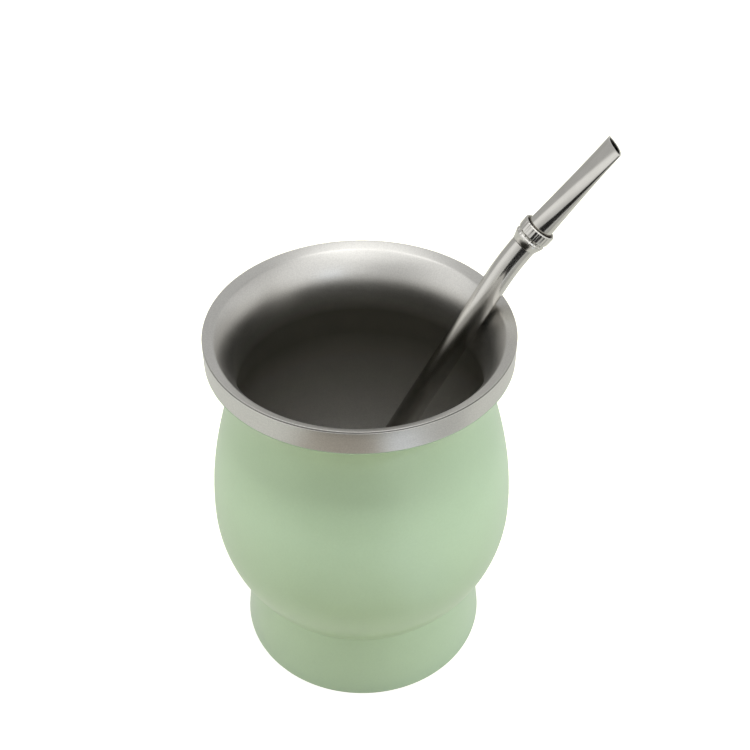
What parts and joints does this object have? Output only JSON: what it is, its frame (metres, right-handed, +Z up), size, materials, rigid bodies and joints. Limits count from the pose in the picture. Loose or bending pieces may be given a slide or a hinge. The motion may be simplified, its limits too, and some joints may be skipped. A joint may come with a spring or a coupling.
{
  "type": "mate cup",
  "caption": "Double-walled steel mate cup with a painted belly and foot, a bare flared rim, and a bent metal drinking straw with a strainer leaning on its lip.",
  "frame": {"origin": "on the surface that the cup stands on, under the centre of its foot", "axes": "+Z up along the cup's axis; the drinking straw leans towards +X"},
  "size_m": [0.1114, 0.0888, 0.1622],
  "materials": {
    "painted_shell": "satin sage green powder coat, left off the band under the rim",
    "satin_steel": "satin, turned",
    "polished_steel": "polished"
  },
  "bodies": {
    "root": {"outer_shell": "painted_shell", "inner_cup": "satin_steel", "base_plate": "satin_steel", "tube": "polished_steel", "collar": "polished_steel", "mouthpiece": "polished_steel", "strainer": "polished_steel"}
  },
  "joints": []
}
